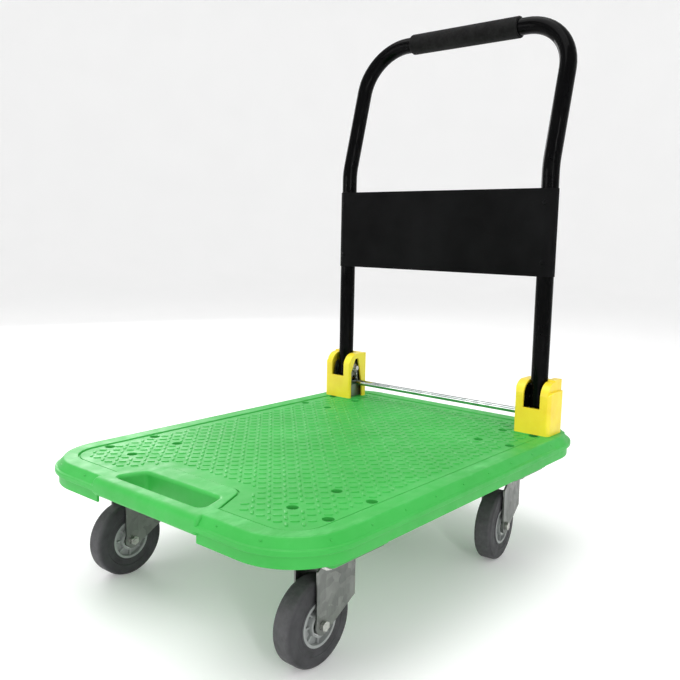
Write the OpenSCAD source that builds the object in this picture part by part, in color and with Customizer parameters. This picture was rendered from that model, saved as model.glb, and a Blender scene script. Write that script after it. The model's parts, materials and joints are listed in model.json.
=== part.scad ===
// Folding platform cart: a moulded deck on four casters, with a tubular handle that folds
// forward onto the deck and is locked upright or folded by a sprung cross bar.
// X runs across the deck, Y runs from the hand grip to the handle, Z is up from the floor.

/* [Deck] */
// Width of the deck over its rim
deck_w = 605; // [500:5:760]
// Length of the deck over its rim
deck_l = 825; // [680:5:1000]
// Corner radius of the rim
deck_corner_r = 108; // [70:1:120]
// Height of the deck from the caster plates to its lip
deck_depth = 59; // [48:1:80]
// Height of the skirt from its lower edge to the lip
skirt_h = 39; // [32:1:48]
// Thickness of the load surface
plate_t = 5; // [3:0.5:8]
// Thickness of the skirt and the walls below the deck
wall_t = 4; // [3:0.5:6]
// Thickness of the ribs below the deck
rib_t = 3; // [2:0.5:5]
// Wanted spacing of the ribs below the deck
rib_pitch = 78; // [50:2:120]
// Width of the flat lip round the tread field
lip_w = 28; // [20:1:45]
// Corner radius of the tread field
field_corner_r = 52; // [30:1:66]
// Depth of the tread field below the lip
field_step = 1.5; // [0.5:0.5:3]

/* [Hand grip] */
// Length of the hand hole at the front edge
hole_w = 200; // [120:5:240]
// Depth of the hand hole from the grip bar to its rear wall
hole_d = 46; // [36:1:60]
// Diameter of the grip bar
grip_bar_d = 28; // [22:1:36]

/* [Casters] */
// Wheel diameter
wheel_d = 125; // [80:5:160]
// Tyre width
wheel_w = 31; // [24:1:40]
// Height of a caster above the top of its wheel
caster_headroom = 33; // [30:1:45]
// Distance of the axle in front of the plate's centre
trail = 40; // [25:1:55]
// Angle at which the rear casters stand
swivel_angle = 8; // [-20:1:20]
// Distance of a plate's centre from the deck's side
caster_side = 87.5; // [75:0.5:110]
// Distance of the front plates' centre from the front edge
caster_front = 162.5; // [130:0.5:200]
// Distance of the rear plates' centre from the rear edge
caster_rear = 172.5; // [150:0.5:220]
// Caster plate size across the deck
plate_x = 100; // [90:1:120]
// Caster plate size along the deck
plate_y = 114; // [104:1:130]
// Bolt spacing across the deck
bolt_x = 64; // [50:1:80]
// Bolt spacing along the deck
bolt_y = 92; // [76:1:100]
// Diameter of the caster bolts
bolt_d = 8; // [6:1:10]

/* [Handle] */
// Outer diameter of the handle tube
tube_d = 32; // [22:1:40]
// Wall of the handle tube
tube_wall = 1.8; // [1.2:0.1:3]
// Distance of a post's centre from the deck's side
post_side = 65; // [60:0.5:90]
// Distance of the pivots from the rear edge
pivot_rear = 94.5; // [85:0.5:130]
// Height of the pivots above the deck's lip
pivot_h = 66; // [60:1:80]
// Height of the upright part of the posts above the pivots
post_h = 417; // [300:1:520]
// Height of the leaning part of the handle
lean_h = 285; // [200:1:340]
// Lean of the upper handle
lean_angle = 14.7; // [0:0.1:20]
// Radius of the bend between upright and leaning parts
lean_bend_r = 120; // [80:1:150]
// Radius of the handle's top corners
corner_bend_r = 98; // [60:1:120]
// Thickness of the grip sleeve
sleeve_t = 4.5; // [3.5:0.5:8]
// Bare tube between a sleeve's end and the bend beside it
sleeve_end = 14.5; // [5:0.5:60]
// Furthest that the handle folds
fold_max = 90; // [80:1:90]

/* [Back panel] */
// Distance of the panel's upper edge below the posts' bend
panel_drop = 28; // [10:1:80]
// Height of the panel
panel_h = 161; // [80:1:200]
// Thickness of the sheet
panel_t = 1.2; // [0.8:0.1:2]

/* [Hinges] */
// Room inside a cover past the pivot nut
cover_in = 3; // [2:0.5:12]
// Room inside a cover past the pivot bolt's head
cover_out = 2.5; // [2:0.5:12]
// Room inside a cover in front of the cam
cover_front = 0.5; // [0.4:0.1:10]
// Room inside a cover behind the bracket
cover_back = 1.5; // [1:0.5:12]
// Room inside a cover above the cam
cover_h = 4.5; // [3:0.5:15]
// Wall of a cover
cover_t = 3.5; // [2.5:0.1:4.5]
// Thickness of the bracket's sheet
bracket_t = 3; // [2:0.5:4]
// Diameter of the pivot bolts
pivot_d = 10; // [8:1:12]
// Diameter of the lock bar
bar_d = 12; // [10:1:15]
// Travel of the lock bar into the cam's notch
bar_travel = 8; // [6:0.5:10]
// Radius of the cam plate
cam_r = 25; // [20:0.5:30]

/* [Hidden] */
$fn = 48;

// Clearances
gap = 0.3;
run_fit = 0.05;
bolt_gap = 0.5;
eps = 0.01;

// Colours
green = [0.35, 0.76, 0.38];
yellow = [0.93, 0.86, 0.24];
black = [0.06, 0.06, 0.07];
zinc = [0.62, 0.63, 0.6];
chrome = [0.85, 0.86, 0.88];
tyre_grey = [0.13, 0.13, 0.15];
hub_grey = [0.46, 0.48, 0.49];

// Heights
caster_h = wheel_d + caster_headroom;
lip_z = caster_h + deck_depth;
skirt_z = lip_z - skirt_h;
field_z = lip_z - field_step;
under_z = field_z - plate_t;
axle_z = wheel_d / 2;
pivot_z = lip_z + pivot_h;

// Edge of the deck, as insets from the rim's outer face
bevel = 14;
rim_h = 7;
rim_z = lip_z - bevel - rim_h;
skirt_in = 6;
lip_in = bevel;
field_in = lip_in + lip_w;
edge = 1.2;

// Places
caster_x = deck_w / 2 - caster_side;
front_y = -deck_l / 2 + caster_front;
rear_y = deck_l / 2 - caster_rear;
post_x = deck_w / 2 - post_side;
pivot_y = deck_l / 2 - pivot_rear;

// Caster
sheet_t = 3.2;
plate_thick = 3.5;
plate_z = caster_h - plate_thick;
hub_w = wheel_w + 3;
cheek_in = hub_w / 2 + 1.5;
crown_r = 38;
collar_r = 30;
ball_d = 6;
ball_ring_r = 21;
crown_top = plate_z - ball_d - gap;
crown_z = crown_top - sheet_t;
kingpin_r = 6;
washer_r = 14;
washer_t = 2;
pin_head_r = 9;
pin_head_h = 4.5;
axle_r = 4;
spacer_r = 7;
bearing_r = 15;
bearing_w = 9;
hub_r = wheel_d * 0.264;
cheek_front = trail + 13;
cheek_back = 26;
cheek_rise = 22;
crown_front = 36;
fork_boss_r = 14;
fork_rake = 14;
hub_wall = 4;
hub_pocket = 7;
web_t = wheel_w - 2 * hub_pocket;
hub_ribs = 8;
tyre_edge_r = 6;

// Fasteners
hex_ratio = 0.8125;
nut_h = bolt_d * 0.8;
head_h = bolt_d * 0.66;
boss_r = bolt_d / 2 + 7;
recess_d = 11;
recess_r = bolt_d * hex_ratio * 1.155 + 1;
thread_end = 1;

// Hinge, measured outwards from the post's centre
tube_r = tube_d / 2;
cam_t = 4;
cheek_gap = 1;
cam_face = tube_r + cam_t;
cheek_a = cam_face + cheek_gap;
cheek_b = tube_r + cheek_gap;
bar_rest = cam_r + 1 + bar_d / 2;
bar_z = pivot_z - bar_rest;
notch_r = bar_d / 2 + gap;
tube_tail = bar_rest - bar_travel - bar_d / 2 - 0.5;
base_t = 3.5;
bracket_y = 24;
lobe_r = 15;
base_bolt_y = 14;
bracket_foot_h = 22;
wall_gap = 1;
pivot_head_h = 6;
pivot_nut_h = 4;
spring_wire = 1;
spring_r = 2.1;
nut_end = cheek_a + bracket_t + pivot_nut_h;
pivot_tail = nut_end + gap + 2 * spring_r + spring_wire;
clip_t = 1.2;
clip_rim = 3;
bar_end = 5;

// Hinge covers, measured from the post's centre and the pivot
cap_step = 5;
cover_inner = nut_end + cover_in + cover_t;
cover_outer = cheek_b + bracket_t + pivot_head_h + cover_out + cover_t + cap_step;
cover_fore = cam_r + cover_front + cover_t;
cover_aft = max(bracket_y + bracket_t, cam_r) + cover_back + cover_t;
cover_top = pivot_h + cam_r + cover_h + cover_t;
cover_slot = tube_d + 2 * wall_gap;
cap_h = 3;
shoulder_drop = 18;
screw_x = 12;
screw_z = 14;
screw_d = 4;

// Handle
tube_bore = tube_r - tube_wall;
bend_rise = lean_bend_r * sin(lean_angle);
bend_run = lean_bend_r * (1 - cos(lean_angle));
slope_l = (lean_h - bend_rise) / cos(lean_angle);
top_half = post_x - corner_bend_r;
sleeve_half = top_half - sleeve_end;
sleeve_r = tube_r + sleeve_t;
panel_z = post_h - panel_drop - panel_h;
hem = 9;
wrap_angle = 110;
rivet_d = 5;
rivet_h = 2;
rivet_edge = 26;

// Signs of the two sides
left = -1;
right = 1;

// ---- Small shapes used in several places ----

module rounded_rect(x, y, r) {
    square([x - 2 * r, y], center = true);
    square([x, y - 2 * r], center = true);
    for (sx = [-1, 1], sy = [-1, 1])
        translate([sx * (x / 2 - r), sy * (y / 2 - r)]) circle(r);
}

module hexagon(across) {
    circle(across / sqrt(3), $fn = 6);
}

// Hex bolt whose head sits on z = 0 and whose shank points down
module hex_bolt(d, grip, head) {
    linear_extrude(head) hexagon(d * hex_ratio * 2);
    translate([0, 0, -grip]) cylinder(d = d, h = grip + eps);
}

// Hex nut with its top face at z = 0
module hex_nut(d, h) {
    translate([0, 0, -h]) difference() {
        linear_extrude(h) hexagon(d * hex_ratio * 2);
        translate([0, 0, -1]) cylinder(d = d, h = h + 2);
    }
}

module at_plate_bolts() {
    for (sx = [-1, 1], sy = [-1, 1])
        translate([sx * bolt_x / 2, sy * bolt_y / 2, 0]) children();
}

module at_casters() {
    for (side = [left, right], y = [front_y, rear_y])
        translate([side * caster_x, y, 0]) children();
}

// Puts children at a hinge: x outwards from the post, y from the pivot, z from the deck's lip
module at_hinge(side) {
    translate([side * post_x, pivot_y, lip_z])
        if (side == right) children(); else mirror([1, 0, 0]) children();
}

module at_hinges() {
    for (side = [left, right]) at_hinge(side) children();
}

// ---- Deck ----

function rail_points() = [
    [skirt_in + wall_t, skirt_z], [skirt_in + edge, skirt_z], [skirt_in, skirt_z + edge],
    [skirt_in, rim_z], [edge, rim_z], [0, rim_z + edge], [0, rim_z + rim_h - edge],
    [edge, rim_z + rim_h], [2 * edge, rim_z + rim_h], [lip_in - edge, lip_z - edge],
    [lip_in, lip_z - edge / 4], [lip_in + edge, lip_z], [field_in - edge, lip_z],
    [field_in, field_z], [field_in, under_z], [skirt_in + wall_t, under_z]];

module rail_profile(r) {
    translate([r, 0]) mirror([1, 0]) polygon(rail_points());
}

// Edge of the deck: four straight runs and four round corners of one profile
module rail() {
    for (turn = [0:3]) {
        along = (turn % 2 == 0 ? deck_l : deck_w) / 2 - deck_corner_r;
        across = (turn % 2 == 0 ? deck_w : deck_l) / 2;
        rotate(90 * turn) {
            translate([0, along, 0]) rotate([90, 0, 0]) linear_extrude(2 * along) rail_profile(across);
            translate([across - deck_corner_r, along, 0])
                rotate_extrude(angle = 90) rail_profile(deck_corner_r);
        }
    }
}

module deck_outline(inset) {
    rounded_rect(deck_w - 2 * inset, deck_l - 2 * inset, deck_corner_r - inset);
}

hole_y = -deck_l / 2 + grip_bar_d + hole_d / 2;
hole_slant = 16;
hole_corner_r = 9;
grip_half = hole_w / 2 + 15;
grip_edge_r = 6;

module hole_outline(grow) {
    hull() for (sx = [-1, 1], sy = [-1, 1])
        translate([sx * (hole_w / 2 - hole_corner_r - (sy + 1) / 2 * hole_slant),
            hole_y + sy * (hole_d / 2 - hole_corner_r)]) circle(hole_corner_r + grow, $fn = 32);
}

module grip_bar() {
    r = grip_bar_d / 2;
    translate([-grip_half, -deck_l / 2, lip_z]) rotate([90, 0, 90]) linear_extrude(2 * grip_half) {
        translate([r, -r]) circle(r);
        translate([1.5 * r, -r]) rounded_rect(r, grip_bar_d, grip_edge_r);
    }
}

rib_low = skirt_z + 6;
pad_edge = 4;
pad_r = 6;
rib_seat = 2;
rib_in = skirt_in + wall_t / 2;
rib_count_x = round(deck_w / rib_pitch);
rib_count_y = round(deck_l / rib_pitch);

module ribs() {
    translate([0, 0, rib_low]) intersection() {
        linear_extrude(under_z - rib_low + eps) deck_outline(rib_in);
        union() {
            for (i = [1:rib_count_x - 1])
                translate([(i / rib_count_x - 0.5) * deck_w - rib_t / 2, -deck_l / 2, 0])
                    cube([rib_t, deck_l, deck_depth]);
            for (i = [1:rib_count_y - 1])
                translate([-deck_w / 2, (i / rib_count_y - 0.5) * deck_l - rib_t / 2, 0])
                    cube([deck_w, rib_t, deck_depth]);
        }
    }
}

// Frame of walls below the deck that a caster plate bears on
module caster_pad() {
    h = under_z - caster_h + eps;
    pad_x = plate_x + 2 * pad_edge;
    pad_y = plate_y + 2 * pad_edge;
    translate([0, 0, caster_h]) {
        linear_extrude(h) difference() {
            rounded_rect(pad_x, pad_y, pad_r);
            rounded_rect(pad_x - 2 * wall_t, pad_y - 2 * wall_t, pad_r / 2);
        }
        for (i = [-1, 1]) {
            translate([i * bolt_x / 2 - rib_t / 2, rib_seat - pad_y / 2, 0])
                cube([rib_t, pad_y - 2 * rib_seat, h]);
            translate([rib_seat - pad_x / 2, i * bolt_y / 2 - rib_t / 2, 0])
                cube([pad_x - 2 * rib_seat, rib_t, h]);
        }
        at_plate_bolts() cylinder(r = boss_r, h = h);
    }
}

hinge_boss_r = boss_r + 2;
hinge_boss_h = 25;
hinge_boss_z = lip_z - hinge_boss_h;
pad_margin = 5;

// Flat pad at lip level below a hinge, with bosses for its bolts
module hinge_pad() {
    pad_x = cover_inner + cover_outer + 2 * pad_margin;
    pad_y = cover_fore + cover_aft + 2 * pad_margin;
    translate([(cover_outer - cover_inner) / 2, (cover_aft - cover_fore) / 2, under_z - lip_z])
        linear_extrude(lip_z - under_z) rounded_rect(pad_x, pad_y, pad_margin);
    for (sy = [-1, 1])
        translate([0, sy * base_bolt_y, hinge_boss_z - lip_z])
            cylinder(r = hinge_boss_r, h = lip_z - hinge_boss_z - 1);
}

module deck() color(green) {
    difference() {
        union() {
            difference() {
                union() {
                    rail();
                    translate([0, 0, under_z]) linear_extrude(plate_t) deck_outline(skirt_in + wall_t / 2);
                    ribs();
                }
                translate([-grip_half, -deck_l / 2 - 1, 0])
                    cube([2 * grip_half, grip_bar_d + 1, rim_z - 2]);
                translate([0, 0, field_z]) linear_extrude(field_step + 1)
                    rounded_rect(deck_w - 2 * field_in, deck_l - 2 * field_in, field_corner_r);
            }
            grip_bar();
            translate([0, 0, rib_low]) linear_extrude(lip_z - rib_low) hole_outline(wall_t);
            translate([0, 0, under_z]) linear_extrude(lip_z - under_z) intersection() {
                hole_outline(lip_w);
                deck_outline(lip_in + edge);
            }
            at_casters() caster_pad();
            at_hinges() hinge_pad();
        }
        translate([0, 0, caster_h - 1]) linear_extrude(deck_depth + 2) hole_outline(0);
        at_casters() at_plate_bolts() {
            translate([0, 0, caster_h - 1]) cylinder(d = bolt_d + 2 * bolt_gap, h = deck_depth + 2);
            translate([0, 0, field_z - recess_d]) cylinder(r = recess_r, h = recess_d + field_step + 1);
        }
        at_hinges() for (sy = [-1, 1]) translate([0, sy * base_bolt_y, -deck_depth]) {
            cylinder(d = bolt_d + 2 * bolt_gap, h = deck_depth + 1);
            cylinder(r = hinge_boss_r, h = deck_depth - hinge_boss_h);
        }
    }
}

// ---- Casters ----

module caster_bolts() color(zinc)
    at_casters() at_plate_bolts() translate([0, 0, field_z - recess_d])
        hex_bolt(bolt_d, field_z - recess_d - plate_z + nut_h + thread_end, head_h);

module caster_nuts() color(zinc)
    at_casters() at_plate_bolts() translate([0, 0, plate_z]) hex_nut(bolt_d, nut_h);

module caster_plate() {
    translate([0, 0, plate_z]) difference() {
        linear_extrude(plate_thick) rounded_rect(plate_x, plate_y, 6);
        translate([0, 0, -1]) {
            at_plate_bolts() cylinder(d = bolt_d + 2 * bolt_gap, h = plate_thick + 2);
            children();
        }
    }
}

// One side of a fork, from the axle up to height top
module fork_cheek(top) {
    boss = fork_boss_r;
    for (side = [-1, 1])
        translate([side * (cheek_in + sheet_t / 2) - sheet_t / 2, 0, 0]) rotate([90, 0, 90])
            linear_extrude(sheet_t) difference() {
                union() {
                    translate([-trail, axle_z]) circle(boss);
                    polygon([[-cheek_front, axle_z], [-cheek_front, top - fork_rake],
                        [-crown_front, top], [cheek_back, top], [cheek_back, axle_z + cheek_rise],
                        [-trail + boss * cos(50), axle_z - boss * sin(50)], [-trail, axle_z]]);
                }
                translate([-trail, axle_z]) circle(axle_r + bolt_gap / 2);
            }
}

module front_fork(side) color(zinc)
    translate([side * caster_x, front_y, 0]) {
        caster_plate();
        fork_cheek(plate_z + eps);
    }

// Places children in a rear caster's own frame, turned about its kingpin
module at_rear(side) {
    translate([side * caster_x, rear_y, 0]) rotate(swivel_angle) children();
}

module swivel_plate(side) color(zinc)
    translate([side * caster_x, rear_y, 0]) {
        caster_plate() cylinder(r = kingpin_r, h = plate_thick + 2);
        translate([0, 0, crown_top + 1]) difference() {
            cylinder(r = collar_r, h = plate_z - crown_top - 1 + eps);
            translate([0, 0, -1]) cylinder(r = collar_r - sheet_t, h = plate_z);
        }
    }

ball_count = floor(180 / asin(ball_d / 2 / ball_ring_r) - 1);

module swivel_balls() color(chrome)
    for (side = [left, right], i = [1:ball_count])
        translate([side * caster_x, rear_y, 0]) rotate(i * 360 / ball_count)
            translate([ball_ring_r, 0, plate_z - ball_d / 2]) sphere(d = ball_d, $fn = 24);

module kingpins() color(zinc)
    for (side = [left, right]) translate([side * caster_x, rear_y, crown_z - gap - washer_t]) {
        cylinder(r = washer_r, h = washer_t);
        translate([0, 0, -pin_head_h]) cylinder(r = pin_head_r, h = pin_head_h + eps);
        cylinder(r = kingpin_r, h = caster_h - crown_z + gap + washer_t);
    }

module swivel_fork(side) color(zinc) at_rear(side) {
    translate([0, 0, crown_z]) difference() {
        union() {
            cylinder(r = crown_r, h = sheet_t);
            translate([-cheek_in - sheet_t, -crown_front, 0])
                cube([2 * (cheek_in + sheet_t), crown_front + cheek_back, sheet_t]);
        }
        translate([0, 0, -1]) cylinder(r = kingpin_r + run_fit, h = sheet_t + 2);
    }
    fork_cheek(crown_z + eps);
}

// Places children on an axle: their z axis points outwards from the cart
module at_axle(side, rear) {
    translate([side * caster_x, rear ? rear_y : front_y, 0]) rotate(rear ? swivel_angle : 0)
        translate([0, -trail, axle_z]) rotate([0, side * 90, 0]) children();
}

axle_head_h = 5.3;
axle_nut_h = 6.5;

module axle_bolt() color(zinc) {
    reach = cheek_in + sheet_t;
    translate([0, 0, reach]) hex_bolt(2 * axle_r, 2 * reach + axle_nut_h + thread_end, axle_head_h);
}

module axle_nut() color(zinc)
    translate([0, 0, -cheek_in - sheet_t]) hex_nut(2 * axle_r, axle_nut_h);

module axle_sleeve() color(zinc)
    translate([0, 0, -cheek_in]) difference() {
        cylinder(r = spacer_r, h = 2 * cheek_in);
        translate([0, 0, -1]) cylinder(r = axle_r, h = 2 * cheek_in + 2);
    }

module front_axle_bolts() for (side = [left, right]) at_axle(side, false) axle_bolt();
module front_axle_sleeves() for (side = [left, right]) at_axle(side, false) axle_sleeve();
module front_axle_nuts() for (side = [left, right]) at_axle(side, false) axle_nut();

// Wheel hub: a rim, a web and a barrel, stiffened by ribs on both sides
module hub() color(hub_grey) {
    barrel_r = bearing_r + 3;
    rib_w = 2.5;
    difference() {
        union() {
            translate([0, 0, -wheel_w / 2]) difference() {
                cylinder(r = hub_r, h = wheel_w);
                translate([0, 0, -1]) cylinder(r = hub_r - hub_wall, h = wheel_w + 2);
            }
            translate([0, 0, -web_t / 2]) cylinder(r = hub_r - 1, h = web_t);
            translate([0, 0, -hub_w / 2]) cylinder(r = barrel_r, h = hub_w);
            for (i = [1:hub_ribs]) rotate(i * 360 / hub_ribs)
                translate([barrel_r - 2, -rib_w / 2, 3 - wheel_w / 2])
                    cube([hub_r - barrel_r, rib_w, wheel_w - 6]);
        }
        translate([0, 0, -hub_w]) cylinder(r = spacer_r + 1.5, h = 2 * hub_w);
        for (s = [-1, 1]) translate([0, 0, s * (hub_w / 2 - bearing_w / 2 + 0.5) - bearing_w / 2 - 0.5])
            cylinder(r = bearing_r, h = bearing_w + 1);
    }
}

module tyre() color(tyre_grey)
    rotate_extrude($fn = 96) difference() {
        union() {
            r = tyre_edge_r;
            translate([hub_r, -wheel_w / 2 + r]) square([wheel_d / 2 - hub_r, wheel_w - 2 * r]);
            translate([hub_r, -wheel_w / 2]) square([wheel_d / 2 - hub_r - r, wheel_w]);
            for (s = [-1, 1]) translate([wheel_d / 2 - r, s * (wheel_w / 2 - r)]) circle(r);
        }
        for (s = [-1, 1])
            translate([hub_r + 9, s * (wheel_w / 2 + 1)]) square([7, 4], center = true);
    }

module bearings() color(chrome)
    for (s = [-1, 1]) translate([0, 0, s * (hub_w / 2 - bearing_w / 2) - bearing_w / 2]) difference() {
        cylinder(r = bearing_r, h = bearing_w);
        translate([0, 0, -1]) cylinder(r = spacer_r + run_fit, h = bearing_w + 2);
        for (z = [-1, bearing_w]) translate([0, 0, z - 0.2]) difference() {
            cylinder(r = bearing_r - 2.5, h = 1.4);
            translate([0, 0, -1]) cylinder(r = spacer_r + 2, h = 4);
        }
    }

// ---- Hinges ----

// Side view of the bracket's cheek, with the slot that guides the lock bar
module bracket_cheek() {
    difference() {
        union() {
            translate([0, pivot_h]) circle(lobe_r);
            polygon([[-bracket_y, 0], [-bracket_y, bracket_foot_h], [-lobe_r, pivot_h],
                [lobe_r, pivot_h], [bracket_y, bracket_foot_h], [bracket_y, 0]]);
        }
        for (z = [pivot_h - bar_rest, pivot_h - bar_rest + bar_travel])
            translate([0, z]) circle(notch_r);
        translate([-notch_r, pivot_h - bar_rest]) square([2 * notch_r, bar_travel]);
        translate([0, pivot_h]) circle(pivot_d / 2);
    }
}

module hinge_bracket(side) color(zinc) at_hinge(side) {
    for (x = [-cheek_a - bracket_t, cheek_b])
        translate([x, 0, 0]) rotate([90, 0, 90]) linear_extrude(bracket_t) bracket_cheek();
    difference() {
        translate([-cheek_a - bracket_t, -bracket_y, 0])
            cube([cheek_a + cheek_b + 2 * bracket_t, 2 * bracket_y, base_t]);
        for (sy = [-1, 1]) translate([0, sy * base_bolt_y, -1])
            cylinder(d = bolt_d + 2 * bolt_gap, h = base_t + 2);
    }
    difference() {
        translate([-cheek_a - bracket_t, bracket_y - eps, 0])
            cube([cheek_a + cheek_b + 2 * bracket_t, bracket_t, bracket_foot_h]);
        for (x = [-1, 1]) translate([x * screw_x, bracket_y - 1, screw_z]) rotate([-90, 0, 0])
            cylinder(d = screw_d, h = bracket_t + 2);
    }
}

module bracket_bolts() color(zinc)
    at_hinges() for (sy = [-1, 1]) translate([0, sy * base_bolt_y, base_t])
        hex_bolt(bolt_d, base_t + hinge_boss_h + washer_t + nut_h + thread_end, head_h);

module bracket_nuts() color(zinc)
    at_hinges() for (sy = [-1, 1]) translate([0, sy * base_bolt_y, -hinge_boss_h]) {
        translate([0, 0, -washer_t]) difference() {
            cylinder(d = 2 * bolt_d, h = washer_t);
            translate([0, 0, -1]) cylinder(d = bolt_d, h = washer_t + 2);
        }
        translate([0, 0, -washer_t + eps]) hex_nut(bolt_d, nut_h);
    }

module pivot_bolt(side) color(zinc) at_hinge(side) translate([cheek_b + bracket_t, 0, pivot_h])
    rotate([0, 90, 0]) hex_bolt(pivot_d, cheek_b + bracket_t + pivot_tail, pivot_head_h);

module pivot_nuts() color(zinc)
    at_hinges() translate([-cheek_a - bracket_t, 0, pivot_h]) rotate([0, 90, 0])
        hex_nut(pivot_d, pivot_nut_h);

// Side view of a cover: square at the back, round over its front
module cover_side(front, back, h, r) {
    back_r = 4;
    translate([-front, 0]) square([front + back, h - r]);
    translate([-front + r, 0]) square([front + back - r - back_r, h]);
    translate([-front + r, 0]) square([front + back - r, h - back_r]);
    translate([-front + r, h - r]) circle(r);
    translate([back - back_r, h - back_r]) circle(back_r);
}

module cover_block(inner, outer, front, back, h, r, plan_r) {
    intersection() {
        translate([-inner, 0, 0]) rotate([90, 0, 90]) linear_extrude(inner + outer)
            cover_side(front, back, h, r);
        translate([(outer - inner) / 2, (back - front) / 2, -1]) linear_extrude(h + 2)
            rounded_rect(inner + outer, front + back, plan_r);
    }
}

module hinge_cover(side) color(yellow) at_hinge(side) difference() {
    cap_out = cover_outer - cap_step;
    union() {
        cover_block(cover_inner, cap_out, cover_fore, cover_aft, cover_top, 27, 5);
        cover_block(cover_inner, cover_outer, cover_fore, cover_aft - 2, cover_top - shoulder_drop, 12, 8);
        intersection() {
            translate([cover_slot / 2, 0, 0])
                cube([cap_out - cover_slot / 2, cover_aft, cover_top + cap_h]);
            cover_block(cover_inner, cap_out, cover_fore - 4, cover_aft, cover_top + cap_h, 10, 5);
        }
    }
    translate([0, 0, -1]) cover_block(cover_inner - cover_t, cap_out - cover_t,
        cover_fore - cover_t, cover_aft - cover_t, cover_top - cover_t + 1, 24, 3);
    // Slot that the post stands in and folds through
    translate([-cover_slot / 2, -cover_fore - 1, pivot_h - tube_r - wall_gap])
        cube([cover_slot, cover_fore + 1 + tube_r + wall_gap, cover_top]);
    // Arch that shows the spring and lets the lock bar through
    translate([-cover_inner - 1, 0, 0]) rotate([90, 0, 90]) linear_extrude(cover_t + 2)
        polygon([[-22, -1], [-22, pivot_h - 8], [-8, pivot_h + 22], [2, pivot_h + 22],
            [16, pivot_h - 36], [18, -1]]);
    for (x = [-1, 1]) translate([x * screw_x, cover_aft - cover_t - 1, screw_z]) rotate([-90, 0, 0])
        cylinder(d = screw_d + bolt_gap, h = cover_t + 2);
}

module cover_screws() color(zinc)
    at_hinges() for (x = [-1, 1]) translate([x * screw_x, cover_aft, screw_z]) rotate([-90, 0, 0]) {
        shank = cover_aft - bracket_y + screw_d;
        cylinder(d = 2 * screw_d, h = screw_d / 2);
        translate([0, 0, -shank]) cylinder(d = screw_d, h = shank + eps);
    }

// ---- Handle ----

module tube_ring() {
    difference() {
        circle(tube_r);
        circle(tube_bore);
    }
}

// Places children in the leaning part of the handle: z runs up the slope from its foot
module at_slope() {
    translate([0, pivot_y, pivot_z + post_h]) translate([0, bend_run, bend_rise])
        rotate([-lean_angle, 0, 0]) children();
}

module handle_tube() color(black) difference() {
    union() {
        for (side = [left, right]) {
            translate([side * post_x, pivot_y, pivot_z - tube_tail])
                linear_extrude(post_h + tube_tail) tube_ring();
            translate([side * post_x, pivot_y + lean_bend_r, pivot_z + post_h]) rotate([90, 0, -90])
                rotate_extrude(angle = lean_angle) translate([lean_bend_r, 0]) tube_ring();
            at_slope() translate([side * post_x, 0, 0]) linear_extrude(slope_l - corner_bend_r) tube_ring();
        }
        at_slope() {
            translate([top_half, 0, slope_l - corner_bend_r]) rotate([90, 0, 0])
                rotate_extrude(angle = 90) translate([corner_bend_r, 0]) tube_ring();
            translate([-top_half, 0, slope_l - corner_bend_r]) rotate([90, 0, 0])
                rotate([0, 0, 90]) rotate_extrude(angle = 90) translate([corner_bend_r, 0]) tube_ring();
            translate([-top_half, 0, slope_l]) rotate([0, 90, 0]) linear_extrude(2 * top_half) tube_ring();
        }
    }
    translate([-post_x - tube_d, pivot_y, pivot_z]) rotate([0, 90, 0])
        cylinder(r = pivot_d / 2 + run_fit, h = 2 * (post_x + tube_d));
}

// Cam plate on the inner face of a post, notched for the bar upright and folded
module cam(side) color(black) at_hinge(side) translate([-cam_face, 0, pivot_h])
    rotate([90, 0, 90]) linear_extrude(cam_t) difference() {
        circle(cam_r);
        circle(pivot_d / 2 + run_fit);
        for (a = [-90, -90 - fold_max]) rotate(a) {
            seat = bar_rest - bar_travel - gap / 2;
            translate([seat, 0]) circle(notch_r);
            translate([seat, -notch_r]) square([cam_r, 2 * notch_r]);
        }
    }

module grip_sleeve() color(black)
    at_slope() translate([0, 0, slope_l]) rotate([0, 90, 0]) rotate_extrude() {
        bore = tube_r + gap;
        round_r = (sleeve_r - bore) / 2;
        translate([bore, -sleeve_half]) square([sleeve_r - bore - round_r, 2 * sleeve_half]);
        translate([bore, round_r - sleeve_half]) square([sleeve_r - bore, 2 * (sleeve_half - round_r)]);
        for (s = [-1, 1]) translate([sleeve_r - round_r, s * (sleeve_half - round_r)]) circle(round_r);
    }

// Plan of the panel: a flat sheet across the posts' front, wrapped round their outer sides
module panel_plan() {
    translate([-post_x, -tube_r - panel_t]) square([2 * post_x, panel_t]);
    for (side = [left, right]) translate([side * post_x, 0]) mirror([side == left ? 1 : 0, 0])
        intersection() {
            difference() {
                circle(tube_r + panel_t);
                circle(tube_r);
            }
            polygon([[0, 0], [0, -tube_d], [tube_d, -tube_d], tube_d * [1, tan(wrap_angle - 90)]]);
        }
}

module back_panel() color(black) translate([0, pivot_y, pivot_z + panel_z]) {
    difference() {
        linear_extrude(panel_h) panel_plan();
        for (side = [left, right], z = [rivet_edge, panel_h - rivet_edge])
            translate([side * post_x, 0, z]) rotate([90, 0, 0]) cylinder(d = rivet_d, h = tube_d);
    }
    for (z = [0, panel_h - panel_t])
        translate([-post_x + tube_r + 4, -tube_r - eps, z]) cube([2 * (post_x - tube_r - 4), hem, panel_t]);
}

module panel_rivets() color(black)
    for (side = [left, right], z = [rivet_edge, panel_h - rivet_edge])
        translate([side * post_x, pivot_y - tube_r - panel_t, pivot_z + panel_z + z]) rotate([90, 0, 0]) {
            cylinder(d1 = 2 * rivet_d, d2 = rivet_d, h = rivet_h, $fn = 32);
            translate([0, 0, -panel_t]) cylinder(d = rivet_d, h = panel_t + eps);
        }

// ---- Lock bar ----

bar_half = post_x + cheek_b + bracket_t + bar_end;

module lock_bar() color(chrome)
    translate([-bar_half, pivot_y, bar_z]) rotate([0, 90, 0]) cylinder(d = bar_d, h = 2 * bar_half);

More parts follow.
